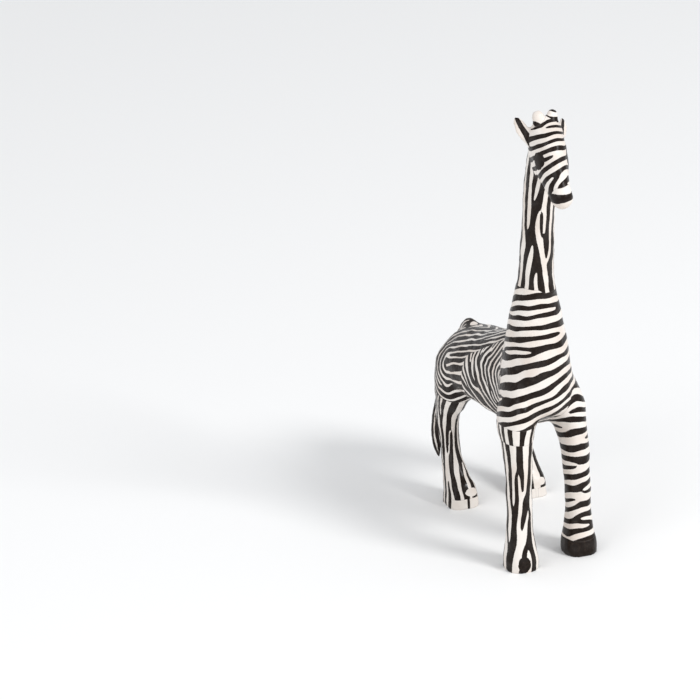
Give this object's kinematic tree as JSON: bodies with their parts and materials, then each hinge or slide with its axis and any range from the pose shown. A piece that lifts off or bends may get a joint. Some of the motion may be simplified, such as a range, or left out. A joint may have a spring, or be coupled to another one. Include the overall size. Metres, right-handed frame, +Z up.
{
  "type": "papier-mache giraffe figure",
  "caption": "Standing giraffe ornament in papier-mache, covered in striped paper, with horns, leaf-shaped ears and a hanging tail.",
  "frame": {"origin": "on the surface it stands on, under the middle of the outline seen from above", "axes": "+Z up, the animal faces -Y, its right side is -X"},
  "size_m": [0.0734, 0.2058, 0.3241],
  "materials": {
    "striped_paper": "black and warm white striped paper, pasted in patches under a soft-gloss varnish"
  },
  "bodies": {
    "root": {"giraffe": "striped_paper"}
  },
  "joints": []
}
